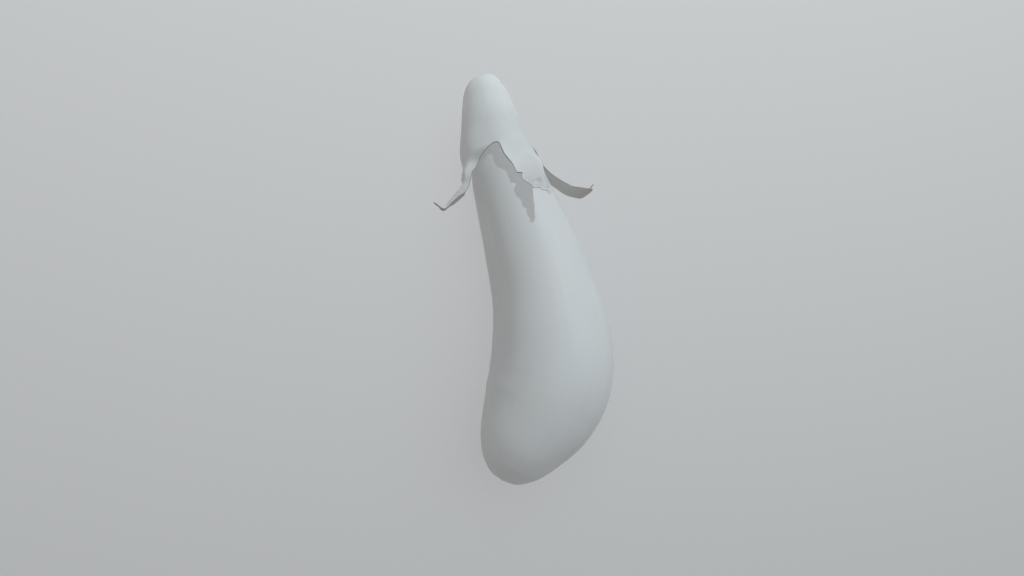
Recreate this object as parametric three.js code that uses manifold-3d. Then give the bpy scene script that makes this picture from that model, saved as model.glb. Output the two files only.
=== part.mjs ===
// A semi-long eggplant as picked, lying on its side: the fruit, and the calyx that grips its neck.
// Millimetres, +Z up, +Y towards the stalk, +X towards the bulging side of the bend.
// The shapes are worked out in the plant frame, where the bent spine lies in the plane z = 0,
// and are then rolled and tilted into the position in which the fruit comes to rest.
import * as THREE from "three";
import { mergeVertices } from "three/addons/utils/BufferGeometryUtils.js";
import Module from "manifold-3d";

const wasm = await Module();
wasm.setup();

// Stations along the spine, from the blossom end to the stalk tip:
// x, y, radius of the fruit, radius of the calyx (which starts near the neck)
const STATIONS = [
  [-5.0, -95.5, 25.5, 0],
  [4.5, -77.0, 27.0, 0],
  [13.5, -60.0, 29.0, 0],
  [19.0, -44.0, 30.5, 0],
  [19.5, -24.5, 29.5, 0],
  [16.0, -2.5, 26.5, 0],
  [7.8, 25.5, 22.8, 24.3],
  [-3.6, 59.5, 17.6, 19.5],
  [-10.0, 75.5, 12.0, 16.7],
  [-13.0, 99.5, 8.0, 12.2],
  [-11.3, 112.0, 6.0, 8.8],
];
const STALK_TIP = STATIONS.length - 1;
// Lengths counted in stations
const BLUNT = 2.4; // rounding of the blossom end
const FRUIT_TOP = 8.8; // where the fruit ends inside the calyx
const SHOULDER = 1.0; // rounding of that end
const STALK_ROUND = 1.0; // rounding of the stalk tip
const CROWN_GAP = 0.06; // clearance over the end of the fruit
const RING = 7.7; // where the lobes of the calyx part
// Lengths in mm
const GAP = 0.5; // clearance between fruit and calyx
const RIM = 1.3; // thickness of the calyx where the lobes part
const HOLLOW = 14; // how far above the ring the calyx stands off the fruit
const ARCH = 2; // radius of the rounded notch between two lobes
const CREASE = 1; // half width of the rounding of a fold
const SWELL_UP = 26; // how far above the ring a lobe's swollen root reaches
const ABOVE_RING = 6; // a lobe takes its first direction from the calyx this far above the ring
// Shares of the length of a lobe, counted from the ring
const SWELL_END = 0.45; // where the swelling of its root has faded
const THIN_END = 0.25; // where its edges have thinned
const CLING_END = 0.33; // where its curve no longer follows the ring
const TURN_END = 0.5; // where it faces its own way
const KEEL_END = 0.25; // where it has its full fold
// Shares of the thickness of a lobe
const EDGE_THIN = 0.6; // lost at its edges
const TIP_THIN = 0.5; // lost towards its tip
const SWELL_POWER = 3; // how narrow the swelling of a root is

// Rest position: roll towards the hollow side, tilt towards the stalk, and depth of the flat spot
const ROLL = 13;
const TILT = -2.6;
const FLAT_DEPTH = 0.6;

// Azimuths run round the spine: 0 faces +Z of the plant frame, 90 the bulging side
const NOTCHES = [-135, -1, 98, 150, 190];
// Each lobe has the azimuth of its middle, how steeply it folds along the middle and how much of
// the curve of the fruit it keeps from root to tip (both for its left and its right half), how
// much its root swells, and rows from the ring to its tip: mm below the ring, mm above the skin,
// degrees turned sideways, half width to the left and to the right.
const LOBES = [
  {
    mid: -56, keel: [0.2, 1.5], bend: [[1, 1], [0.9, 1], [0.8, 0.8], [0.8, 0.8], [0.8, 0.8]], swell: 2.2,
    rows: [
      [3, 7, -1, 13, 6.5], [6.5, 8, -2, 11, 3.5], [10, 7.5, -3, 10.5, 2.5], [13, 7.5, -6, 11.5, 2.5],
      [15, 9, -9, 12, 3], [17, 11.5, -13, 11.5, 2.5], [19.5, 14.5, -16, 9, 2], [22, 17.5, -18, 4, 1.5],
      [20.5, 20, -18, 1, 1], [18, 22.5, -18, 0, 0],
    ],
  },
  {
    mid: 48, keel: [0.6, 0.4], bend: [[1, 1], [-0.6, 0.4], [0.4, 0], [1.6, -0.4], [1.8, -0.7]], swell: 0,
    rows: [
      [8, 2, 2, 15, 9.5], [14, 4.5, -2, 13.5, 3], [22, 8, -12, 11, 0.5], [25, 9, -15, 9, 0.5],
      [27.5, 9.5, -16, 7, 0], [32, 11, -18, 5, 0], [35.5, 12, -21, 2, 1], [37, 11.5, -22, 0, 0],
    ],
  },
  {
    mid: 118, keel: [0, 0], bend: [[1, 1], [0.8, 0.8], [0.3, 0.3], [0, 0], [0, 0]], swell: 0,
    rows: [
      [7.5, 2.5, 0, 7.5, 9], [13, 2, 0, 6.5, 6.5], [18, 4.5, 0, 5, 4], [22.5, 8.5, 0, 4.5, 4],
      [27, 13, 0, 5, 5], [29.5, 18.5, 0, 6, 6.5], [31, 23.5, 0, 6, 6], [28.5, 27, 0, 1, 0.5],
      [27, 30.5, 0, 0, 0],
    ],
  },
  {
    mid: 170, keel: [0, 0], bend: [[1, 1], [1, 1]], swell: 0,
    rows: [[8, 2.5, 0, 6.5, 5.5], [16, 2, 0, 5, 5], [24, 2, 0, 3, 3], [30, 2.5, 0, 0, 0]],
  },
  {
    mid: 208, keel: [0, 0], bend: [[1, 1], [1, 1]], swell: 0,
    rows: [[8, 2.5, 0, 5.5, 6.5], [16, 2, 0, 5, 5], [24, 2, 0, 3, 3], [30, 2.5, 0, 0, 0]],
  },
];

// Fineness of the meshes
const FRUIT_SIDES = 40;
const BLUNT_RINGS = 8;
const BODY_RINGS = 17;
const CROWN_RINGS = 4;
const LOBE_COLUMNS = 10;
const LOBE_ROWS = 22;
const CAP_RINGS = 7;
const STALK_RINGS = 4;

const SLOPE_STEP = 1e-3; // step over which slopes are taken, in stations or in lobe lengths
const ARC_STEPS = 2000; // steps in which the spine is measured
const CUT_BOX = 400; // side of the box that cuts the flat spot

const radians = THREE.MathUtils.degToRad;
const UP = new THREE.Vector3(0, 0, 1);
const smooth = (x) => THREE.MathUtils.smoothstep(x, 0, 1);
const sinc = (x) => (x === 0 ? 1 : Math.sin(x) / x);
const spread = (n, f) => Array.from({ length: n }, (_, i) => f(i));

// A Catmull-Rom curve through rows of numbers, u counting rows
function through(rows, u) {
  const last = rows.length - 1;
  const i = THREE.MathUtils.clamp(Math.floor(u), 0, last - 1);
  const f = u - i;
  return rows[0].map((_, k) => {
    const b = rows[i][k];
    const c = rows[i + 1][k];
    const a = i > 0 ? rows[i - 1][k] : 2 * b - c;
    const d = i + 1 < last ? rows[i + 2][k] : 2 * c - b;
    return 0.5 * (2 * b + (c - a) * f + (2 * a - 5 * b + 4 * c - d) * f ** 2
      + (3 * b - a - 3 * c + d) * f ** 3);
  });
}

// ---- The spine and the radii along it ----

function centre(u) {
  const [x, y] = through(STATIONS, u);
  return new THREE.Vector3(x, y, 0);
}

function direction(u, azimuth) {
  const along = centre(u + SLOPE_STEP).sub(centre(u - SLOPE_STEP)).normalize();
  const side = along.cross(UP);
  return UP.clone().multiplyScalar(Math.cos(radians(azimuth)))
    .addScaledVector(side, Math.sin(radians(azimuth)));
}

const around = (u, azimuth, radius) => centre(u).addScaledVector(direction(u, azimuth), radius);

// 1 well inside a rounded end, falling to 0 as a quarter ellipse over its last stretch
const rounding = (left) => Math.sqrt(Math.max(0, 1 - (1 - THREE.MathUtils.clamp(left, 0, 1)) ** 2));

function fruitRadius(u, extra = 0, reach = 0) {
  const radius = through(STATIONS, u)[2] + extra;
  return radius * rounding(u / BLUNT) * rounding((FRUIT_TOP + reach - u) / (SHOULDER + reach));
}

const calyxRadius = (u) => through(STATIONS, u)[3] * rounding((STALK_TIP - u) / STALK_ROUND);

const arc = [0];
for (let i = 1; i <= ARC_STEPS; i++) {
  const u = (i * STALK_TIP) / ARC_STEPS;
  arc.push(arc[i - 1] + centre(u).distanceTo(centre(u - STALK_TIP / ARC_STEPS)));
}

function arcLength(u) {
  const at = (u * ARC_STEPS) / STALK_TIP;
  const k = Math.min(Math.floor(at), ARC_STEPS - 1);
  return arc[k] + (arc[k + 1] - arc[k]) * (at - k);
}

// The station that lies so many mm below the ring, measured along the spine
function belowRing(mm) {
  const target = arcLength(RING) - mm;
  const i = arc.findIndex((length) => length > target) - 1;
  return ((i + (target - arc[i]) / (arc[i + 1] - arc[i])) * STALK_TIP) / ARC_STEPS;
}

// The inside of the calyx follows the end of the fruit and stands off it towards the ring
function innerRadius(u) {
  const standOff = calyxRadius(RING) - RIM - fruitRadius(RING, GAP, CROWN_GAP);
  const fading = smooth((arcLength(u) - arcLength(RING)) / HOLLOW);
  return fruitRadius(u, GAP, CROWN_GAP) + standOff * (1 - fading);
}

// ---- Meshes of shared vertices ----

class Skin {
  positions = [];
  triangles = [];

  point(v) {
    this.positions.push(v.x, v.y, v.z);
    return this.positions.length / 3 - 1;
  }

  quad(a, b, c, d) {
    this.triangles.push(a, b, c, a, c, d);
  }

  // A band between two closed rings, facing out when the second ring lies further up the spine
  band(low, high) {
    low.forEach((a, j) => {
      const k = (j + 1) % low.length;
      this.quad(a, low[k], high[k], high[j]);
    });
  }

  // Closes a ring with a pole above it
  close(ring, pole) {
    ring.forEach((a, j) => this.triangles.push(a, ring[(j + 1) % ring.length], pole));
  }

  geometry() {
    const geometry = new THREE.BufferGeometry();
    geometry.setAttribute("position", new THREE.Float32BufferAttribute(this.positions, 3));
    geometry.setIndex(this.triangles);
    return geometry;
  }
}

// ---- The fruit ----

function fruitGeometry() {
  const quarter = Math.PI / 2;
  const stations = [
    ...spread(BLUNT_RINGS, (i) => BLUNT * (1 - Math.cos((quarter * (i + 1)) / (BLUNT_RINGS + 1)))),
    ...spread(BODY_RINGS, (i) => {
      return THREE.MathUtils.lerp(BLUNT, FRUIT_TOP - SHOULDER, i / (BODY_RINGS - 1));
    }),
    ...spread(CROWN_RINGS, (i) => {
      return FRUIT_TOP - SHOULDER * (1 - Math.sin((quarter * (i + 1)) / (CROWN_RINGS + 1)));
    }),
  ];
  const skin = new Skin();
  const rings = stations.map((u) => {
    const radius = fruitRadius(u);
    return spread(FRUIT_SIDES, (j) => skin.point(around(u, (360 * j) / FRUIT_SIDES, radius)));
  });
  for (let i = 1; i < rings.length; i++) skin.band(rings[i - 1], rings[i]);
  skin.close(rings.at(-1), skin.point(centre(FRUIT_TOP)));
  skin.close(rings[0].toReversed(), skin.point(centre(0)));
  return skin.geometry();
}

// ---- The calyx ----

// Angles from the middle of a lobe to the notches on its left and right
function spans(i) {
  const turn = (angle) => ((angle % 360) + 360) % 360;
  const { mid } = LOBES[i];
  return [turn(mid - NOTCHES[i]), turn(NOTCHES[(i + 1) % NOTCHES.length] - mid)];
}

// The rows of a lobe, after one on the ring and one on the calyx above the ring
const lobeRows = LOBES.map(({ rows, swell }, i) => {
  const [left, right] = spans(i).map((span) => radians(span) * calyxRadius(RING));
  const onRing = [0, calyxRadius(RING) - fruitRadius(RING) + swell, 0, left, right];
  const u = belowRing(-ABOVE_RING);
  const rise = calyxRadius(u) - fruitRadius(u) + swell * smooth(1 - ABOVE_RING / SWELL_UP);
  const next = rows.map((row) => [...row.slice(0, 3), row[3] + ARCH, row[4] + ARCH]);
  const above = [-ABOVE_RING, rise, 0, 2 * left - next[0][3], 2 * right - next[0][4]];
  return [above, onRing, ...next];
});

function lobeMiddle(i, along) {
  const rows = lobeRows[i];
  const [below, rise, turned, left, right] = through(rows, 1 + along * (rows.length - 2));
  const u = belowRing(below);
  const azimuth = LOBES[i].mid + turned;
  const radius = through(STATIONS, u)[2] + rise;
  // The notch is a round arch: the lobe loses its width fast just below the ring
  const short = THREE.MathUtils.clamp(ARCH - below, 0, ARCH);
  const lost = along > 0.5 ? ARCH : Math.sqrt(ARCH ** 2 - short ** 2);
  const halves = [left - lost, right - lost];
  return { point: around(u, azimuth, radius), u, azimuth, radius, rise, halves };
}

const swollen = (across) => (1 - across ** 2) ** SWELL_POWER;

// A point of a lobe: along runs from the ring to the tip, across from -1 to 1 between its edges,
// and depth is 0 on its outer face and 1 on its inner face
function lobePoint(i, along, across, depth) {
  const { keel, bend, swell } = LOBES[i];
  const { point, u, azimuth, radius, rise, halves } = lobeMiddle(i, along);
  const side = across < 0 ? 0 : 1;
  const ahead = lobeMiddle(i, along + SLOPE_STEP).point
    .sub(lobeMiddle(i, along - SLOPE_STEP).point).normalize();
  const turn = smooth(along / TURN_END);
  const sideways = direction(u, azimuth + 90);
  sideways.addScaledVector(ahead, -sideways.dot(ahead) * turn).normalize();
  const outward = direction(u, azimuth).lerp(ahead.clone().cross(sideways), turn).normalize();

  // The lobe curves round the neck at its root, and bends and folds in its own way further on
  const root = swell * (1 - smooth(along / SWELL_END));
  const curve = THREE.MathUtils.lerp(calyxRadius(RING), radius - root, smooth(along / CLING_END));
  const offset = across * Math.max(0, halves[side]);
  const angle = (offset * through(bend, along * (bend.length - 1))[side]) / curve;
  const fold = keel[side] * smooth(along / KEEL_END);
  const away = Math.hypot(offset, CREASE);
  const drop = fold * (away - CREASE) + ((offset * angle) / 2) * sinc(angle / 2) ** 2;
  point.addScaledVector(sideways, offset * sinc(angle)).addScaledVector(outward, -root - drop);

  const tilt = angle + Math.atan((fold * offset) / away);
  const normal = outward.multiplyScalar(Math.cos(tilt)).addScaledVector(sideways, Math.sin(tilt));
  const thinning = (1 - TIP_THIN * smooth(along))
    * (1 - EDGE_THIN * Math.abs(across) * smooth(along / THIN_END));
  const thickness = Math.min(RIM * thinning, Math.max(0, rise - root - GAP));
  return point.addScaledVector(normal, root * swollen(across) - thickness * depth);
}

function lobe(skin, i, outerRing, innerRing) {
  const across = (j) => (2 * j) / LOBE_COLUMNS - 1;
  let outer = outerRing;
  let inner = innerRing;
  for (let row = 1; row < LOBE_ROWS; row++) {
    const along = row / LOBE_ROWS;
    const line = (depth) => {
      return spread(LOBE_COLUMNS + 1, (j) => skin.point(lobePoint(i, along, across(j), depth)));
    };
    const nextOuter = line(0);
    const nextInner = line(1);
    for (let j = 0; j < LOBE_COLUMNS; j++) {
      skin.quad(nextOuter[j], nextOuter[j + 1], outer[j + 1], outer[j]);
      skin.quad(inner[j], inner[j + 1], nextInner[j + 1], nextInner[j]);
    }
    skin.quad(outer[0], inner[0], nextInner[0], nextOuter[0]);
    skin.quad(inner.at(-1), outer.at(-1), nextOuter.at(-1), nextInner.at(-1));
    outer = nextOuter;
    inner = nextInner;
  }
  const tip = skin.point(lobePoint(i, 1, 0, 0.5));
  for (let j = 0; j < LOBE_COLUMNS; j++) {
    skin.triangles.push(tip, outer[j + 1], outer[j], tip, inner[j], inner[j + 1]);
  }
  skin.triangles.push(outer[0], inner[0], tip, inner.at(-1), outer.at(-1), tip);
}

function calyxGeometry() {
  const quarter = Math.PI / 2;
  const columns = LOBES.flatMap(({ mid, swell }, i) => spread(LOBE_COLUMNS, (j) => {
    const across = (2 * j) / LOBE_COLUMNS - 1;
    const [left, right] = spans(i);
    const azimuth = mid + across * (across < 0 ? left : right);
    return { azimuth, swell: swell * swollen(across) };
  }));
  const skin = new Skin();

  const swellEnd = belowRing(-SWELL_UP) - RING;
  const outerStations = [
    ...spread(CAP_RINGS, (i) => {
      return THREE.MathUtils.lerp(RING, STALK_TIP - STALK_ROUND, i / (CAP_RINGS - 1));
    }),
    ...spread(STALK_RINGS, (i) => {
      return STALK_TIP - STALK_ROUND * (1 - Math.sin((quarter * (i + 1)) / (STALK_RINGS + 1)));
    }),
  ];
  const outer = outerStations.map((u) => columns.map(({ azimuth, swell }) => {
    const radius = calyxRadius(u) + swell * smooth(1 - (u - RING) / swellEnd);
    return skin.point(around(u, azimuth, radius));
  }));
  for (let i = 1; i < outer.length; i++) skin.band(outer[i - 1], outer[i]);
  skin.close(outer.at(-1), skin.point(centre(STALK_TIP)));

  const innerTop = FRUIT_TOP + CROWN_GAP;
  const innerStations = [
    RING,
    ...spread(CROWN_RINGS + 1, (i) => {
      return innerTop - (SHOULDER + CROWN_GAP) * (1 - Math.sin((quarter * i) / (CROWN_RINGS + 1)));
    }),
  ];
  const inner = innerStations.map((u) => columns.map(({ azimuth }) => {
    return skin.point(around(u, azimuth, innerRadius(u)));
  }));
  for (let i = 1; i < inner.length; i++) skin.band(inner[i], inner[i - 1]);
  skin.close(inner.at(-1).toReversed(), skin.point(centre(innerTop)));

  const count = columns.length;
  LOBES.forEach((_, i) => {
    const part = (ring) => spread(LOBE_COLUMNS + 1, (j) => ring[(i * LOBE_COLUMNS + j) % count]);
    lobe(skin, i, part(outer[0]), part(inner[0]));
  });
  return skin.geometry();
}

// ---- Laying it down ----

const solid = (geometry) => new wasm.Manifold(new wasm.Mesh({
  numProp: 3,
  vertProperties: geometry.attributes.position.array,
  triVerts: new Uint32Array(geometry.index.array),
}));

function asGeometry(manifold) {
  const mesh = manifold.getMesh();
  const geometry = new THREE.BufferGeometry();
  geometry.setAttribute("position", new THREE.BufferAttribute(mesh.vertProperties, 3));
  geometry.setIndex(new THREE.BufferAttribute(mesh.triVerts, 1));
  return geometry;
}

function below(z) {
  const box = new THREE.BoxGeometry(CUT_BOX, CUT_BOX, CUT_BOX).translate(0, 0, z - CUT_BOX / 2);
  box.deleteAttribute("normal");
  box.deleteAttribute("uv");
  return solid(mergeVertices(box));
}

const fruit = fruitGeometry();
const calyx = calyxGeometry();
const rest = new THREE.Matrix4().makeRotationFromEuler(new THREE.Euler(radians(TILT), radians(-ROLL), 0));
for (const geometry of [fruit, calyx]) geometry.applyMatrix4(rest);

// The origin lies under the middle of the whole, in the plane of the flat spot
fruit.computeBoundingBox();
calyx.computeBoundingBox();
const whole = fruit.boundingBox.clone().union(calyx.boundingBox);
const middle = whole.getCenter(new THREE.Vector3());
const floor = fruit.boundingBox.min.z + FLAT_DEPTH;
for (const geometry of [fruit, calyx]) geometry.translate(-middle.x, -middle.y, -floor);

function piece(name, geometry, colour, roughness) {
  const material = new THREE.MeshStandardMaterial({ color: colour, roughness, metalness: 0 });
  const mesh = new THREE.Mesh(geometry, material);
  mesh.name = name;
  return mesh;
}

const eggplant = new THREE.Group();
eggplant.add(piece("fruit", asGeometry(solid(fruit).subtract(below(0))), 0xc6cdce, 0.5));
eggplant.add(piece("calyx", calyx, 0xc9cfcf, 0.6));

export default eggplant;
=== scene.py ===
"""An eggplant as picked, lying on its side: its fine surfaces, their finish, floor, light and camera.

Shapes are worked out in millimetres in the plant frame, where the bent spine lies in the plane z = 0,
y runs towards the stalk and x towards the bulging side. to_row() lays them down and makes metres.
"""
import math

import bpy
import numpy as np
from mathutils import Matrix, Vector


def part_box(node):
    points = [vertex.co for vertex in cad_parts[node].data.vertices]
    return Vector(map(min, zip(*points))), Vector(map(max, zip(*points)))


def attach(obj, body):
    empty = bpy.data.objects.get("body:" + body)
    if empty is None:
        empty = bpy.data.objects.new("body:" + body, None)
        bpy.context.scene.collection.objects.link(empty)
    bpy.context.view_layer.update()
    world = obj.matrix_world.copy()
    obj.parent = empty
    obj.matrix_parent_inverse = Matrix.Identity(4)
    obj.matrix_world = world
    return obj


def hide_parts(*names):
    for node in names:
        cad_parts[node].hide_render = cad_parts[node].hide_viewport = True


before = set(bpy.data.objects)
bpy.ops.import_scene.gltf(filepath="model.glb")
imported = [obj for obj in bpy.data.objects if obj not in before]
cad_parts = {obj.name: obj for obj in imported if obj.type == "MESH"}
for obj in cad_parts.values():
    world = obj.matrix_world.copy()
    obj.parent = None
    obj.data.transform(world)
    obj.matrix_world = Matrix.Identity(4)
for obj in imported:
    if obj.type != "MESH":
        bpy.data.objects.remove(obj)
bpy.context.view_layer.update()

MM = 0.001

# ---- Driving dimensions ----
# They are the construction's, but the edges of the lobes are thicker here. The lip, the nicks, the
# dents and the reliefs are only here.

# Stations along the spine: x, y, radius of the fruit, radius of the calyx
STATIONS = np.array([
    [-5.0, -95.5, 25.5, 0],
    [4.5, -77.0, 27.0, 0],
    [13.5, -60.0, 29.0, 0],
    [19.0, -44.0, 30.5, 0],
    [19.5, -24.5, 29.5, 0],
    [16.0, -2.5, 26.5, 0],
    [7.8, 25.5, 22.8, 24.3],
    [-3.6, 59.5, 17.6, 19.5],
    [-10.0, 75.5, 12.0, 16.7],
    [-13.0, 99.5, 8.0, 12.2],
    [-11.3, 112.0, 6.0, 8.8],
])
STALK_TIP = len(STATIONS) - 1
# Counted in stations
BLUNT = 2.4  # rounding of the blossom end
FRUIT_TOP = 8.8  # where the fruit ends inside the calyx
SHOULDER = 1.0  # rounding of that end
STALK_ROUND = 1.0  # rounding of the stalk tip
CROWN_GAP = 0.06  # clearance over the end of the fruit
RING = 7.7  # where the lobes of the calyx part
# In mm
GAP = 0.5  # clearance between fruit and calyx
RIM = 1.3  # thickness of the calyx where the lobes part
HOLLOW = 14  # how far above the ring the calyx stands off the fruit
SWELL_UP = 26  # how far above the ring a lobe's swollen root reaches
SWELL_POWER = 3  # how narrow that swelling is
ABOVE_RING = 6  # a lobe takes its first direction from the calyx this far above the ring
CREASE = 1.0  # rounding of the keel of a lobe
ARCH = 2.0  # radius of the rounded notch between two lobes
LIP = 0.5  # how far the edges of the lobes turn up
LIP_WIDTH = 0.7  # how fast that fades inwards
LEAST_WIDTH = 0.05  # half the width that a lobe keeps at its tip
# Shares of the length of a lobe
SWELL_END = 0.45  # where the swelling of its root has faded
THIN_END = 0.25  # where its edges have thinned
CLING_END = 0.33  # where its curve no longer follows the ring
TURN_END = 0.5  # where it faces its own way
KEEL_END = 0.25  # where it has its full fold
EDGE_GROWN = 1 / 12  # where lips and rounded edges have grown to their full size
# Shares of the thickness of a lobe
EDGE_THIN = 0.4  # lost at its edges
TIP_THIN = 0.5  # lost towards its tip
EDGE_ROUND = 0.5  # radius of the rounded edges
TIP_ROUND = 0.6  # share of that radius lost at the tip

# Rest position: roll towards the hollow side and tilt towards the stalk
ROLL = math.radians(13)
TILT = math.radians(-2.6)

# Azimuths run round the spine in degrees: 0 faces +z, 90 the bulging side
NOTCHES = [-135, -1, 98, 150, 190]
# Rows of a lobe: mm below the ring, mm above the skin, degrees turned, half widths left and right.
# Keels and bends are given left and right too.
LOBES = [
    dict(
        mid=-56, keel=(0.2, 1.5), swell=2.2,
        bend=[(1, 1), (0.9, 1), (0.8, 0.8), (0.8, 0.8), (0.8, 0.8)],
        rows=[(3, 7, -1, 13, 6.5), (6.5, 8, -2, 11, 3.5), (10, 7.5, -3, 10.5, 2.5),
              (13, 7.5, -6, 11.5, 2.5), (15, 9, -9, 12, 3), (17, 11.5, -13, 11.5, 2.5),
              (19.5, 14.5, -16, 9, 2), (22, 17.5, -18, 4, 1.5), (20.5, 20, -18, 1, 1),
              (18, 22.5, -18, 0, 0)]),
    dict(
        mid=48, keel=(0.6, 0.4), swell=0,
        bend=[(1, 1), (-0.6, 0.4), (0.4, 0), (1.6, -0.4), (1.8, -0.7)],
        rows=[(8, 2, 2, 15, 9.5), (14, 4.5, -2, 13.5, 3), (22, 8, -12, 11, 0.5), (25, 9, -15, 9, 0.5),
              (27.5, 9.5, -16, 7, 0), (32, 11, -18, 5, 0), (35.5, 12, -21, 2, 1), (37, 11.5, -22, 0, 0)]),
    dict(
        mid=118, keel=(0, 0), swell=0,
        bend=[(1, 1), (0.8, 0.8), (0.3, 0.3), (0, 0), (0, 0)],
        rows=[(7.5, 2.5, 0, 7.5, 9), (13, 2, 0, 6.5, 6.5), (18, 4.5, 0, 5, 4), (22.5, 8.5, 0, 4.5, 4),
              (27, 13, 0, 5, 5), (29.5, 18.5, 0, 6, 6.5), (31, 23.5, 0, 6, 6), (28.5, 27, 0, 1, 0.5),
              (27, 30.5, 0, 0, 0)]),
    dict(
        mid=170, keel=(0, 0), swell=0,
        bend=[(1, 1), (1, 1)],
        rows=[(8, 2.5, 0, 6.5, 5.5), (16, 2, 0, 5, 5), (24, 2, 0, 3, 3), (30, 2.5, 0, 0, 0)]),
    dict(
        mid=208, keel=(0, 0), swell=0,
        bend=[(1, 1), (1, 1)],
        rows=[(8, 2.5, 0, 5.5, 6.5), (16, 2, 0, 5, 5), (24, 2, 0, 3, 3), (30, 2.5, 0, 0, 0)]),
]

# Nicks, and below zero teeth, in the edges: lobe, side, start, deepest and end along it, depth in mm
NICKS = [
    (1, -1, 0.36, 0.37, 0.47, 2.2),
    (1, -1, 0.66, 0.69, 0.72, -0.5),
    (1, -1, 0.72, 0.76, 0.79, 1.2),
    (1, -1, 0.84, 0.88, 0.91, 1.5),
    (1, -1, 0.91, 0.94, 0.97, -0.7),
    (1, 1, 0.87, 0.91, 0.95, 0.9),
    (2, 1, 0.73, 0.82, 0.87, -1.5),
]
# Dents in the outer face: lobe, along it, mm to the right of its middle, radius, depth in mm
DENTS = [(1, 0.63, -3.5, 1.2, 0.7), (1, 0.8, -1.5, 1, 0.4)]

# Relief of the fruit: lengths from the blossom end in mm, azimuths in degrees.
# The long flat on the hollow side:
FLAT_DEPTH = 0.9
FLAT_AZIMUTH = -56
FLAT_TO_RIDGE = 14
FLAT_TO_BACK = 25
FLAT_START = 35
FLAT_END = 175
FLAT_FADE = 40
# The fuller blunt end:
FULL_HEIGHT = 3.2
FULL_AZIMUTH = 0
FULL_LENGTH = 10.5
FULL_TO_END = 6
FULL_TO_BELLY = 17
# Faint ribs and the blossom scar:
RIB_HEIGHT = 0.05
RIBS = 7
RIB_TWIST = 0.01  # radians to a mm
RIB_START = 40
SCAR_DEPTH = 0.8
SCAR_SPREAD = 1.2
# Lean of the calyx towards the bulging side, between the fruit and the stalk tip
LEAN = 1.1
LEAN_LENGTH = 187
LEAN_SPREAD = 11

# Fineness of the surfaces
FRUIT_SIDES = 224
BLUNT_RINGS = 70
BODY_RINGS = 190
CROWN_RINGS = 12
LOBE_COLUMNS = 36
EDGE_STEPS = 6
LOBE_ROWS = 130
ROW_CROWDING = 1.3  # the rows of a lobe crowd towards its root
MOST_INSET = 0.45  # share of half a lobe's width that the rounding of its edge takes at most
CAP_RINGS = 80
STALK_RINGS = 30

UP = np.array([0.0, 0.0, 1.0])
QUARTER = math.pi / 2
SLOPE_STEP = 1e-3


def smooth(x):
    x = np.clip(x, 0, 1)
    return x * x * (3 - 2 * x)


def unit(v):
    return v / np.linalg.norm(v, axis=-1, keepdims=True)


def dot(a, b):
    return (a * b).sum(-1, keepdims=True)


def through(rows, u):
    """A Catmull-Rom curve through rows of numbers, u counting rows."""
    rows = np.asarray(rows, float)
    u = np.asarray(u, float)
    points = np.vstack([2 * rows[0] - rows[1], rows, 2 * rows[-1] - rows[-2]])
    i = np.clip(np.floor(u).astype(int), 0, len(rows) - 2)
    f = (u - i)[..., None]
    a, b, c, d = (points[i + k] for k in range(4))
    return 0.5 * (2 * b + (c - a) * f + (2 * a - 5 * b + 4 * c - d) * f**2
                  + (3 * b - a - 3 * c + d) * f**3)


# ---- The spine and the radii along it ----

def centre(u):
    xy = through(STATIONS[:, :2], u)
    return np.concatenate([xy, 0 * xy[..., :1]], -1)


def direction(u, azimuth):
    along = unit(centre(u + SLOPE_STEP) - centre(u - SLOPE_STEP))
    angle = np.radians(azimuth)[..., None]
    return np.cos(angle) * UP + np.sin(angle) * np.cross(along, UP)


def around(u, azimuth, radius):
    return centre(u) + direction(u, azimuth) * radius[..., None]


def rounding(left):
    """1 well inside a rounded end, falling to 0 as a quarter ellipse over its last stretch."""
    return np.sqrt(np.maximum(0, 1 - (1 - np.clip(left, 0, 1))**2))


def skin_radius(u):
    return through(STATIONS[:, 2:3], u)[..., 0]


def fruit_radius(u, extra=0.0, reach=0.0):
    ends = rounding(u / BLUNT) * rounding((FRUIT_TOP + reach - u) / (SHOULDER + reach))
    return (skin_radius(u) + extra) * ends


def calyx_radius(u):
    return through(STATIONS[:, 3:4], u)[..., 0] * rounding((STALK_TIP - u) / STALK_ROUND)


# Lengths along the spine, in mm, at closely spaced stations
CLOSE_STATIONS = np.linspace(0, STALK_TIP, 4001)
STEPS = np.linalg.norm(np.diff(centre(CLOSE_STATIONS), axis=0), axis=1)
LENGTHS = np.concatenate([[0], np.cumsum(STEPS)])


def arc_length(u):
    return np.interp(u, CLOSE_STATIONS, LENGTHS)


def below_ring(mm):
    """The station that lies so many mm below the ring, along the spine."""
    return np.interp(arc_length(RING) - mm, LENGTHS, CLOSE_STATIONS)


def inner_radius(u):
    """The inside of the calyx: it follows the end of the fruit and stands off it towards the ring."""
    stand_off = calyx_radius(RING) - RIM - fruit_radius(RING, GAP, CROWN_GAP)
    fading = smooth((arc_length(u) - arc_length(RING)) / HOLLOW)
    return fruit_radius(u, GAP, CROWN_GAP) + stand_off * (1 - fading)


# ---- Meshes ----

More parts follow.
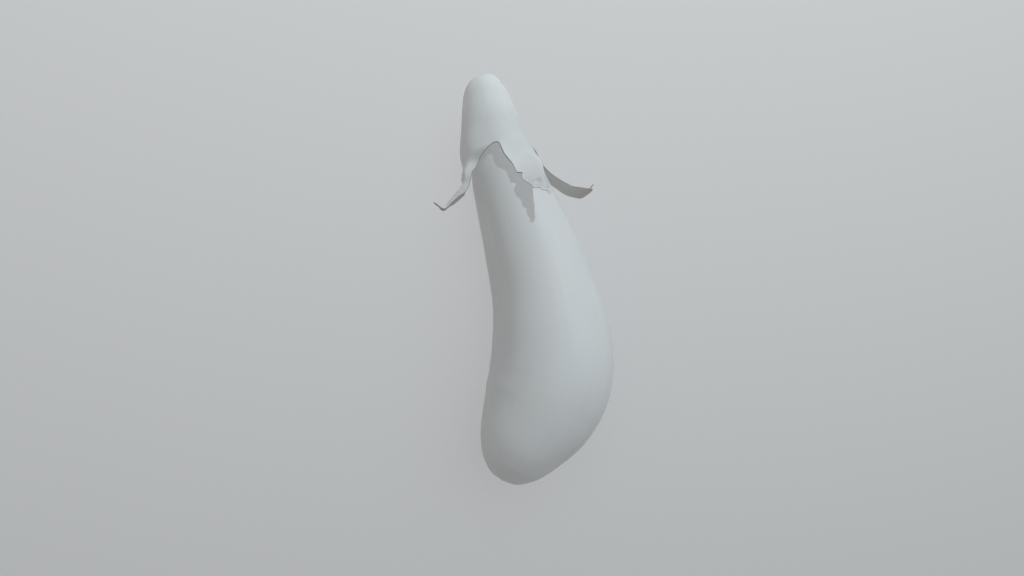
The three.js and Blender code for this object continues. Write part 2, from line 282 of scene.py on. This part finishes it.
class Skin:
    """Shared vertices, each with its flow, which is its place in the straightened plant, for grain
    along it, and with how far it is on the inside of the calyx, from 0 to 1."""

    def __init__(self):
        self.points = []
        self.flows = []
        self.insides = []
        self.faces = []
        self.count = 0

    def add(self, points, flows, inside=0.0):
        points = np.asarray(points, float).reshape(-1, 3)
        self.points.append(points)
        self.flows.append(np.asarray(flows, float).reshape(-1, 3))
        self.insides.append(inside + np.zeros(len(points)))
        self.count += len(points)
        return np.arange(self.count - len(points), self.count)

    def strip(self, low, high, closed=False):
        """Quads between two rows of vertices, facing out when low lies nearer the blossom end."""
        if closed:
            low, high = np.append(low, low[0]), np.append(high, high[0])
        self.faces += np.stack([low[:-1], low[1:], high[1:], high[:-1]], 1).tolist()

    def fan(self, row, pole):
        """Triangles from a row to a point beyond it."""
        self.faces += [(int(a), int(b), int(pole)) for a, b in zip(row, np.roll(row, -1))]

    def arrays(self):
        return tuple(np.concatenate(rows) for rows in (self.points, self.flows, self.insides))


def vertex_normals(points, faces):
    """Area-weighted vertex normals, quads counted as two triangles."""
    quads = np.array([f for f in faces if len(f) == 4])
    triangles = [quads[:, [0, 1, 2]], quads[:, [0, 2, 3]]]
    triangles.append(np.array([f for f in faces if len(f) == 3]).reshape(-1, 3))
    triangles = np.concatenate(triangles)
    a, b, c = (points[triangles[:, k]] for k in range(3))
    cross = np.cross(b - a, c - a)
    normals = np.zeros_like(points)
    for k in range(3):
        np.add.at(normals, triangles[:, k], cross)
    return unit(normals + 1e-12 * UP)


FLOW_RADIUS = 20  # mm, of the straightened plant
LOBE_FLOW = 40  # mm, the length of a lobe on it


def flow(azimuth, length):
    angle = np.radians(azimuth)
    return np.stack([FLOW_RADIUS * np.cos(angle), FLOW_RADIUS * np.sin(angle), length + 0 * angle], -1)


# ---- The fruit ----

def fruit_skin():
    low = BLUNT * (1 - np.cos(QUARTER * np.arange(1, BLUNT_RINGS + 1) / (BLUNT_RINGS + 1)))
    body = np.linspace(BLUNT, FRUIT_TOP - SHOULDER, BODY_RINGS)
    high = QUARTER * np.arange(1, CROWN_RINGS + 1) / (CROWN_RINGS + 1)
    stations = np.concatenate([low, body, FRUIT_TOP - SHOULDER * (1 - np.sin(high))])
    azimuth = np.linspace(0, 360, FRUIT_SIDES, endpoint=False)
    skin = Skin()
    rings = []
    for u in stations:
        here = np.full(FRUIT_SIDES, u)
        rings.append(skin.add(around(here, azimuth, fruit_radius(here)), flow(azimuth, arc_length(u))))
    for a, b in zip(rings, rings[1:]):
        skin.strip(a, b, closed=True)
    for end, ring in ((FRUIT_TOP, rings[-1]), (0.0, rings[0][::-1])):
        pole = skin.add(centre(np.array(end)), (0, 0, arc_length(end)))[0]
        skin.fan(ring, pole)
    return skin


def fruit_relief(flows):
    """Height above the round fruit, in mm: a long flat on the hollow side, a fuller blunt end,
    faint ribs and the pit of the blossom scar."""
    azimuth = np.degrees(np.arctan2(flows[:, 1], flows[:, 0]))
    length = flows[:, 2]
    along = smooth((length - FLAT_START) / FLAT_FADE) * smooth((FLAT_END - length) / FLAT_FADE)
    beside = np.where(azimuth > FLAT_AZIMUTH, FLAT_TO_RIDGE, FLAT_TO_BACK)
    flat = -FLAT_DEPTH * along * np.exp(-((azimuth - FLAT_AZIMUTH) / beside)**2)
    facing = np.maximum(0, np.cos(np.radians(azimuth - FULL_AZIMUTH)))
    beside = np.where(length < FULL_LENGTH, FULL_TO_END, FULL_TO_BELLY)
    full = FULL_HEIGHT * facing * np.exp(-((length - FULL_LENGTH) / beside)**2)
    ribs = RIB_HEIGHT * np.sin(np.radians(RIBS * azimuth) + RIB_TWIST * length)
    ribs = ribs * smooth(length / RIB_START)
    scar = -SCAR_DEPTH * np.exp(-(length / SCAR_SPREAD)**2)
    return flat + full + ribs + scar


# ---- The calyx ----

def calyx_relief(flows):
    """Height above the round calyx, in mm: the cap leans towards the bulging side."""
    sideways = flows[:, 1] / FLOW_RADIUS
    return LEAN * sideways * np.exp(-((flows[:, 2] - LEAN_LENGTH) / LEAN_SPREAD)**2)


def swollen(across):
    """The share of the swelling of a lobe's root across it."""
    return (1 - across**2)**SWELL_POWER


def spans(i):
    """Angles from the middle of a lobe to the notches on its left and right."""
    mid = LOBES[i]["mid"]
    return (mid - NOTCHES[i]) % 360, (NOTCHES[(i + 1) % len(NOTCHES)] - mid) % 360


def full_rows(i):
    """The rows of a lobe, after one on the ring and one on the calyx above the ring."""
    lobe = LOBES[i]
    left, right = (math.radians(span) * calyx_radius(RING) for span in spans(i))
    rows = [(*row[:3], row[3] + ARCH, row[4] + ARCH) for row in lobe["rows"]]
    ring = (0, calyx_radius(RING) - fruit_radius(RING) + lobe["swell"], 0, left, right)
    u = below_ring(-ABOVE_RING)
    rise = calyx_radius(u) - fruit_radius(u) + lobe["swell"] * smooth(1 - ABOVE_RING / SWELL_UP)
    above = (-ABOVE_RING, rise, 0, 2 * left - rows[0][3], 2 * right - rows[0][4])
    return np.array([above, ring, *rows], float)


LOBE_ROWS_OF = [full_rows(i) for i in range(len(LOBES))]


def lobe_middle(i, along):
    """The middle line of a lobe: points, stations, azimuths, radii, rises over the skin and half
    widths left and right."""
    rows = LOBE_ROWS_OF[i]
    below, rise, twist, left, right = np.moveaxis(through(rows, 1 + along * (len(rows) - 2)), -1, 0)
    u = below_ring(below)
    azimuth = LOBES[i]["mid"] + twist
    radius = skin_radius(u) + rise
    # The notch is a round arch: the lobe loses its width fast just below the ring
    lost = np.sqrt(ARCH**2 - np.clip(ARCH - below, 0, ARCH)**2)
    return around(u, azimuth, radius), u, azimuth, radius, rise, left - lost, right - lost


def nicked(i, along, across, half):
    """The half width of a lobe after the nicks in its edges."""
    for lobe, side, start, deepest, end, depth in NICKS:
        if lobe == i:
            cut = np.interp(along, (start, deepest, end), (0, depth, 0))
            half = half - np.where(across * side > 0, cut, 0)
    return np.maximum(0, half)


def edge_lift(i, along, offset, half):
    """Height of the outer face from its lip and its dents, in mm."""
    lift = LIP * np.exp(-np.maximum(0, half - np.abs(offset)) / LIP_WIDTH) * smooth(along / EDGE_GROWN)
    length = LOBE_ROWS_OF[i][-1][0]
    for lobe, at, sideways, radius, depth in DENTS:
        if lobe == i:
            distance = np.hypot((along - at) * length, offset - sideways)
            lift = lift - depth * np.exp(-(distance / radius)**2)
    return lift


def lobe_surface(i, along, across, depth):
    """Points of a lobe: along from the ring to the tip, across from edge to edge (-1 to 1),
    depth from the outer face (0) to the inner face (1). Arrays of one shape."""
    lobe = LOBES[i]
    middle, u, azimuth, radius, rise, left, right = lobe_middle(i, along)
    ahead = unit(lobe_middle(i, along + SLOPE_STEP)[0] - lobe_middle(i, along - SLOPE_STEP)[0])
    turn = smooth(along / TURN_END)[..., None]
    sideways = direction(u, azimuth + 90)
    sideways = unit(sideways - dot(sideways, ahead) * ahead * turn)
    outward = unit(direction(u, azimuth) * (1 - turn) + np.cross(ahead, sideways) * turn)

    ring_radius = calyx_radius(RING)
    root = lobe["swell"] * (1 - smooth(along / SWELL_END))
    curve = ring_radius + (radius - root - ring_radius) * smooth(along / CLING_END)
    bends = np.moveaxis(through(lobe["bend"], along * (len(lobe["bend"]) - 1)), -1, 0)
    half = nicked(i, along, across, np.where(across < 0, left, right))
    offset = across * half
    angle = offset * np.where(across < 0, *bends) / curve
    keel = np.where(across < 0, *lobe["keel"]) * smooth(along / KEEL_END)
    away = np.hypot(offset, CREASE)
    drop = root + keel * (away - CREASE) + offset * angle / 2 * np.sinc(angle / (2 * np.pi))**2
    points = middle + sideways * (offset * np.sinc(angle / np.pi))[..., None] - outward * drop[..., None]

    tilt = angle + np.arctan(keel * offset / away)
    normal = outward * np.cos(tilt)[..., None] + sideways * np.sin(tilt)[..., None]
    edge_thinning = 1 - EDGE_THIN * np.abs(across) * smooth(along / THIN_END)
    thickness = RIM * (1 - TIP_THIN * smooth(along)) * edge_thinning
    thickness = np.minimum(thickness, np.maximum(0, rise - root - GAP))
    lift = root * swollen(across) + edge_lift(i, along, offset, half) - thickness * depth
    return points + normal * lift[..., None]


# Across a lobe from edge to edge, crowding towards the edges
ACROSS = np.sin(QUARTER * np.linspace(-1, 1, LOBE_COLUMNS + 1))
# Round the edge of a lobe, from its outer to its inner face
EDGE_TURN = np.linspace(QUARTER, -QUARTER, EDGE_STEPS + 1)[1:-1]


def calyx_columns():
    """The azimuths of the columns round the ring, and the swelling at each."""
    azimuth = []
    swell = []
    for i, lobe in enumerate(LOBES):
        left, right = spans(i)
        azimuth += list(lobe["mid"] + ACROSS[:-1] * np.where(ACROSS[:-1] < 0, left, right))
        swell += list(lobe["swell"] * swollen(ACROSS[:-1]))
    return np.array(azimuth), np.array(swell)


def add_outside(skin, azimuth, swell):
    """The cap and the stalk from the ring up. Returns the vertices of the ring."""
    swell_end = below_ring(-SWELL_UP) - RING
    high = QUARTER * np.arange(1, STALK_RINGS + 1) / (STALK_RINGS + 1)
    stations = np.concatenate([np.linspace(RING, STALK_TIP - STALK_ROUND, CAP_RINGS),
                               STALK_TIP - STALK_ROUND * (1 - np.sin(high))])
    rings = []
    for u in stations:
        here = np.full(len(azimuth), u)
        radius = calyx_radius(here) + swell * smooth(1 - (u - RING) / swell_end)
        rings.append(skin.add(around(here, azimuth, radius), flow(azimuth, arc_length(u))))
    for a, b in zip(rings, rings[1:]):
        skin.strip(a, b, closed=True)
    tip = skin.add(centre(np.array(float(STALK_TIP))), (0, 0, arc_length(STALK_TIP)))[0]
    skin.fan(rings[-1], tip)
    return rings[0]


def add_inside(skin, azimuth):
    """The hollow from the ring up over the end of the fruit. Returns the vertices of the ring."""
    top = FRUIT_TOP + CROWN_GAP
    high = QUARTER * np.arange(CROWN_RINGS + 1) / (CROWN_RINGS + 1)
    stations = np.concatenate([np.linspace(RING, FRUIT_TOP - SHOULDER, 3)[:-1],
                               top - (SHOULDER + CROWN_GAP) * (1 - np.sin(high))])
    rings = []
    for u in stations:
        here = np.full(len(azimuth), u)
        rings.append(skin.add(around(here, azimuth, inner_radius(here)), flow(azimuth, arc_length(u)), 1))
    for a, b in zip(rings, rings[1:]):
        skin.strip(b, a, closed=True)
    skin.fan(rings[-1][::-1], skin.add(centre(np.array(top)), (0, 0, arc_length(top)))[0])
    return rings[0]


def add_rims(skin, azimuth, outer, inner):
    """At each notch, the vertices from the outer to the inner ring."""
    depth = (1 - np.sin(EDGE_TURN)) / 2
    points = skin.arrays()[0]
    rims = []
    for i in range(len(LOBES)):
        notch = i * LOBE_COLUMNS
        a, b = points[outer[notch]], points[inner[notch]]
        flows = flow(np.full(len(depth), azimuth[notch]), arc_length(RING))
        rims.append(skin.add(a + (b - a) * depth[:, None], flows, depth))
    return rims


def add_lobe(skin, i, loop):
    """A lobe from the loop at its root: outer face left to right, right edge, inner face, left edge."""
    edge_turn = np.concatenate([np.full(LOBE_COLUMNS + 1, QUARTER), EDGE_TURN,
                                np.full(LOBE_COLUMNS + 1, -QUARTER), EDGE_TURN[::-1]])
    side = np.concatenate([ACROSS, np.ones(len(EDGE_TURN)), ACROSS[::-1], -np.ones(len(EDGE_TURN))])
    depth = (1 - np.sin(edge_turn)) / 2
    mid = LOBES[i]["mid"]
    left, right = spans(i)
    flow_azimuth = mid + side * np.where(side < 0, left, right)
    for along in (np.arange(1, LOBE_ROWS) / LOBE_ROWS)**ROW_CROWDING:
        here = np.full(len(side), along)
        *_, left_width, right_width = lobe_middle(i, here)
        width = np.maximum(LEAST_WIDTH, np.where(side < 0, left_width, right_width))
        radius = EDGE_ROUND * RIM * smooth(along / EDGE_GROWN) * (1 - TIP_ROUND * along)
        inset = np.minimum(MOST_INSET, radius / width)
        reach = 1 - inset * (1 - np.cos(edge_turn))
        across = side * np.where(np.abs(edge_turn) == QUARTER, 1 - inset, reach)
        flows = flow(flow_azimuth, arc_length(RING) - LOBE_FLOW * along)
        row = skin.add(lobe_surface(i, here, across, depth), flows, depth)
        skin.strip(row, loop, closed=True)
        loop = row
    tip = lobe_surface(i, np.array([1.0]), np.array([0.0]), np.array([0.5]))
    skin.fan(loop[::-1], skin.add(tip, flow(np.array([mid]), arc_length(RING) - LOBE_FLOW))[0])


def calyx_skin():
    skin = Skin()
    azimuth, swell = calyx_columns()
    outer = add_outside(skin, azimuth, swell)
    inner = add_inside(skin, azimuth)
    rims = add_rims(skin, azimuth, outer, inner)
    for i in range(len(LOBES)):
        columns = (i * LOBE_COLUMNS + np.arange(LOBE_COLUMNS + 1)) % len(azimuth)
        left_rim, right_rim = rims[i], rims[(i + 1) % len(LOBES)]
        loop = np.concatenate([outer[columns], right_rim, inner[columns][::-1], left_rim[::-1]])
        add_lobe(skin, i, loop)
    return skin


# ---- Laying it down ----

REST = np.array(Matrix.Rotation(TILT, 3, "X") @ Matrix.Rotation(-ROLL, 3, "Y"))
PRESS = 0.3  # mm above the floor below which the skin gives way


def turned(points):
    return points @ REST.T


def find_shift(points):
    """From the turned plant frame, in metres, to the row frame: the fruit fills its box in the frame."""
    low, high = (np.array(v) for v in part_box("fruit"))
    mine = turned(points) * MM
    middle = (mine.min(0) + mine.max(0)) / 2
    shift = (low + high) / 2 - middle
    shift[2] = high[2] - mine[:, 2].max()
    return shift


def to_row(points):
    """From the plant frame in mm to the row frame in metres, pressed flat where the fruit rests."""
    placed = turned(points) + SHIFT / MM
    z = placed[:, 2]
    placed[:, 2] = np.where(z < PRESS, PRESS * np.exp(np.minimum(0, z - PRESS) / PRESS), z)
    return placed * MM


def make_piece(name, skin, relief):
    """The mesh object of a skin, with its relief raised on the outer side."""
    points, flows, inside = skin.arrays()
    height = relief(flows) * (1 - inside)
    points = points + vertex_normals(points, skin.faces) * height[:, None]
    mesh = bpy.data.meshes.new(name)
    mesh.from_pydata(to_row(points).tolist(), [], skin.faces)
    mesh.update()
    mesh.shade_smooth()
    attribute = mesh.attributes.new("flow", "FLOAT_VECTOR", "POINT")
    attribute.data.foreach_set("vector", flows.astype(np.float32).ravel())
    attribute = mesh.attributes.new("inside", "FLOAT", "POINT")
    attribute.data.foreach_set("value", inside.astype(np.float32))
    piece = bpy.data.objects.new(name, mesh)
    bpy.context.scene.collection.objects.link(piece)
    return piece


# ---- Materials ----

class Nodes:
    """A material's node tree, with short ways to add and join nodes."""

    def __init__(self, name):
        self.material = bpy.data.materials.new(name)
        self.material.use_nodes = True
        self.tree = self.material.node_tree
        self.shader = self.tree.nodes["Principled BSDF"]

    def add(self, kind, inputs=None, **settings):
        node = self.tree.nodes.new("ShaderNode" + kind)
        for key, value in settings.items():
            setattr(node, key, value)
        for key, value in (inputs or {}).items():
            self.join(value, node.inputs[key])
        return node

    def join(self, value, socket):
        if isinstance(value, bpy.types.NodeSocket):
            self.tree.links.new(value, socket)
        else:
            socket.default_value = value

    def attribute(self, name, output):
        return self.add("Attribute", attribute_name=name).outputs[output]

    def stretched(self, stretch):
        """The flow, in mm, squeezed along the plant so that a texture on it is drawn out."""
        flow_vector = self.attribute("flow", "Vector")
        return self.add("Mapping", {"Vector": flow_vector, "Scale": (1, 1, 1 / stretch)}).outputs[0]

    def noise(self, scale, stretch=1, detail=2):
        """Noise from 0 to 1; scale is in cells to a millimetre."""
        inputs = {"Vector": self.stretched(stretch), "Scale": scale, "Detail": detail}
        return self.add("TexNoise", inputs).outputs["Fac"]

    def remap(self, value, low, high, to_low=0.0, to_high=1.0):
        inputs = {"Value": value, "From Min": low, "From Max": high, "To Min": to_low, "To Max": to_high}
        return self.add("MapRange", inputs).outputs["Result"]

    def math(self, operation, a, b):
        return self.add("Math", {0: a, 1: b}, operation=operation).outputs[0]

    def blend(self, factor, a, b):
        """Colour a where the factor is 0 and b where it is 1."""
        return self.add("Mix", {0: factor, 6: a, 7: b}, data_type="RGBA").outputs[2]

    def finish(self, colour, roughness, height, bump, level):
        """Joins the shader; bump is the depth of the fine relief in metres."""
        self.join(colour, self.shader.inputs["Base Color"])
        self.join(roughness, self.shader.inputs["Roughness"])
        self.shader.inputs["Specular IOR Level"].default_value = level
        normal = self.add("Bump", {"Height": height, "Distance": bump}).outputs["Normal"]
        self.join(normal, self.shader.inputs["Normal"])
        return self.material


def skin_material():
    """Smooth pale skin: broad mottling, faint streaks along the fruit, scattered pores."""
    n = Nodes("skin")
    mottle = n.noise(0.05, stretch=2)
    streaks = n.noise(0.5, stretch=14)
    pores = n.add("TexVoronoi", {"Vector": n.stretched(1.5), "Scale": 0.45}).outputs["Distance"]
    pore = n.remap(pores, 0.05, 0.11, 1, 0)
    colour = n.blend(n.remap(mottle, 0.35, 0.65), (0.645, 0.65, 0.65, 1), (0.675, 0.67, 0.665, 1))
    colour = n.blend(n.remap(streaks, 0.5, 0.75, 0, 0.3), colour, (0.62, 0.615, 0.6, 1))
    colour = n.blend(n.math("MULTIPLY", pore, 0.35), colour, (0.56, 0.54, 0.5, 1))
    roughness = n.remap(n.math("ADD", mottle, streaks), 0.7, 1.3, 0.46, 0.56)
    height = n.math("SUBTRACT", streaks, n.math("MULTIPLY", pore, 0.5))
    return n.finish(colour, roughness, height, 0.006 * MM, 0.35)


def calyx_material():
    """Matte and fibrous: fine ribs along it, dry patches, a paler stalk tip that is a painted highlight,
    edges darkened partly by dryness and partly by painted shade, and a duller, browner inside that is
    partly painted shade.
    """
    n = Nodes("calyx")
    fibres = n.noise(1.6, stretch=12, detail=3)
    patches = n.noise(0.16, stretch=2, detail=3)
    colour = n.blend(n.remap(patches, 0.35, 0.65), (0.665, 0.67, 0.67, 1), (0.685, 0.68, 0.665, 1))
    length = n.add("SeparateXYZ", {"Vector": n.attribute("flow", "Vector")}).outputs["Z"]
    # Paler towards the stalk tip: a painted highlight where the light falls on the end of the cap
    colour = n.blend(n.remap(length, 190, 201), colour, (0.755, 0.76, 0.755, 1))
    colour = n.blend(n.remap(fibres, 0.5, 0.75, 0, 0.35), colour, (0.6, 0.59, 0.565, 1))
    depth = n.attribute("inside", "Fac")
    # A dark band round the edges of the lobes, between outer and inner face: partly a dry edge, partly
    # painted shade of the gap under the lobes
    dry_and_shaded_rim = n.math("MULTIPLY", n.remap(depth, 0.02, 0.3), n.remap(depth, 0.98, 0.7))
    # The inner faces are duller and browner, most towards the tips of the lobes: partly their own colour,
    # partly painted shade where the undersides face away from the light
    inside = n.remap(depth, 0.35, 0.8)
    dull_and_shaded = n.blend(n.remap(fibres, 0.3, 0.7), (0.53, 0.525, 0.51, 1), (0.59, 0.585, 0.575, 1))
    dull_and_shaded = n.blend(n.remap(length, 154, 144), dull_and_shaded, (0.47, 0.43, 0.39, 1))
    colour = n.blend(inside, colour, dull_and_shaded)
    colour = n.blend(dry_and_shaded_rim, colour, (0.26, 0.245, 0.22, 1))
    roughness = n.remap(patches, 0.3, 0.7, 0.58, 0.72)
    return n.finish(colour, roughness, fibres, 0.02 * MM, 0.25)


def floor_material():
    """A matte floor with a barely visible grain, paler far out, where the light falls off."""
    n = Nodes("floor")
    place = n.add("TexCoord").outputs["Object"]
    grain = n.add("TexNoise", {"Vector": place, "Scale": 900.0, "Detail": 2.0}).outputs["Fac"]
    colour = n.blend(n.remap(grain, 0.3, 0.7), (0.296, 0.3, 0.304, 1), (0.304, 0.308, 0.312, 1))
    distance = n.add("VectorMath", {0: place}, operation="LENGTH").outputs["Value"]
    colour = n.blend(n.remap(distance, 0.4, 3), colour, (0.85, 0.86, 0.87, 1))
    return n.finish(colour, n.remap(grain, 0.3, 0.7, 0.86, 0.94), grain, 0.01 * MM, 0.2)


round_fruit = fruit_skin()
SHIFT = find_shift(round_fruit.arrays()[0])
fruit = make_piece("eggplant_fruit", round_fruit, fruit_relief)
calyx = make_piece("eggplant_calyx", calyx_skin(), calyx_relief)
fruit.data.materials.append(skin_material())
calyx.data.materials.append(calyx_material())
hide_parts("fruit")
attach(fruit, "root")
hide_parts("calyx")
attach(calyx, "root")
# The thin calyx keeps no soft light from the skin under it
calyx.visible_diffuse = False

# ---- Floor, light and camera ----

bpy.ops.mesh.primitive_plane_add(size=6)
floor = bpy.context.object
floor.name = "floor"
floor.data.materials.append(floor_material())

scene = bpy.context.scene
scene.view_settings.view_transform = "Standard"
world = bpy.data.worlds.new("studio")
world.use_nodes = True
scene.world = world
nodes, links = world.node_tree.nodes, world.node_tree.links
background = nodes["Background"]
background.inputs["Color"].default_value = (1.0, 1.0, 0.98, 1)
# The room is a little brighter beyond the stalk than before the blossom end
to_stalk = nodes.new("ShaderNodeVectorMath")
to_stalk.operation = "DOT_PRODUCT"
to_stalk.inputs[1].default_value = (0, 0.9, 0.4)
links.new(nodes.new("ShaderNodeTexCoord").outputs["Generated"], to_stalk.inputs[0])
room_strength = nodes.new("ShaderNodeMapRange")
room_strength.inputs["From Min"].default_value = -1
room_strength.inputs["To Min"].default_value = 0.24
room_strength.inputs["To Max"].default_value = 0.4
links.new(to_stalk.outputs["Value"], room_strength.inputs["Value"])
links.new(room_strength.outputs["Result"], background.inputs["Strength"])

CAMERA_PITCH = math.radians(10)
LENS = 40
SENSOR = 36
VIEW_WIDTH = 0.512  # metres of the plane through the spine that the picture takes in
DISTANCE = VIEW_WIDTH * LENS / SENSOR
right = np.array([1.0, 0, 0])
up = np.array([0, math.cos(CAMERA_PITCH), math.sin(CAMERA_PITCH)])
back = np.array([0, -math.sin(CAMERA_PITCH), math.cos(CAMERA_PITCH)])


def photo_axes(x, y, z):
    """A direction given as right, up and towards the camera, in the row frame."""
    return Vector(turned(right * x + up * y + back * z))


camera_data = bpy.data.cameras.new("camera")
camera_data.lens = LENS
camera_data.sensor_width = SENSOR
camera = bpy.data.objects.new("camera", camera_data)
scene.collection.objects.link(camera)
rotation = Matrix((photo_axes(1, 0, 0), photo_axes(0, 1, 0), photo_axes(0, 0, 1))).transposed()
camera.matrix_world = Matrix.Translation(Vector(SHIFT) + photo_axes(0, 0, DISTANCE)) @ rotation.to_4x4()
scene.camera = camera


def add_light(name, kind, energy, colour, place, lights=None, shadows_from=None):
    """A light, with the only pieces that it lights and the only ones that shade it, if not all."""
    data = bpy.data.lights.new(name, kind)
    data.energy = energy
    data.color = colour
    light = bpy.data.objects.new(name, data)
    scene.collection.objects.link(light)
    light.matrix_world = place
    for role, pieces in (("receiver_collection", lights), ("blocker_collection", shadows_from)):
        if pieces:
            group = bpy.data.collections.new(name + "_" + role)
            for piece in pieces:
                group.objects.link(piece)
            setattr(light.light_linking, role, group)
    return data


def shining_from(towards, distance=0.0):
    """The place of a light that shines on the middle of the floor."""
    towards = Vector(towards).normalized()
    return Matrix.Translation(towards * distance) @ towards.to_track_quat("Z", "Y").to_matrix().to_4x4()


# A sharp key from the upper right, and a soft box overhead that the calyx doesn't shade
key_place = shining_from(photo_axes(0.49, 0.8, 0.33))
key = add_light("key", "SUN", 1.09, (0.87, 1.0, 1.06), key_place, lights=(fruit, calyx))
key.angle = math.radians(2)
box_place = shining_from((0.22, 0.17, 0.96), 1)
soft_box = add_light("soft_box", "AREA", 3.45, (0.86, 1.0, 1.1), box_place, shadows_from=(fruit, floor))
soft_box.shape = "DISK"
soft_box.size = 1.7

# Two washes on the floor alone, one stronger beyond the stalk and one even
slant = Matrix.Translation((0, 0.52, 0.8)) @ Matrix.Rotation(math.radians(-20), 4, "X")
wash = add_light("wash", "AREA", 12.9, (1, 1, 1), slant, lights=(floor,), shadows_from=(floor,))
wash.shape = "RECTANGLE"
wash.size = 1.5
wash.size_y = 0.2
add_light("even_wash", "SUN", 0.93, (1, 1, 1), Matrix(), lights=(floor,), shadows_from=(floor,))
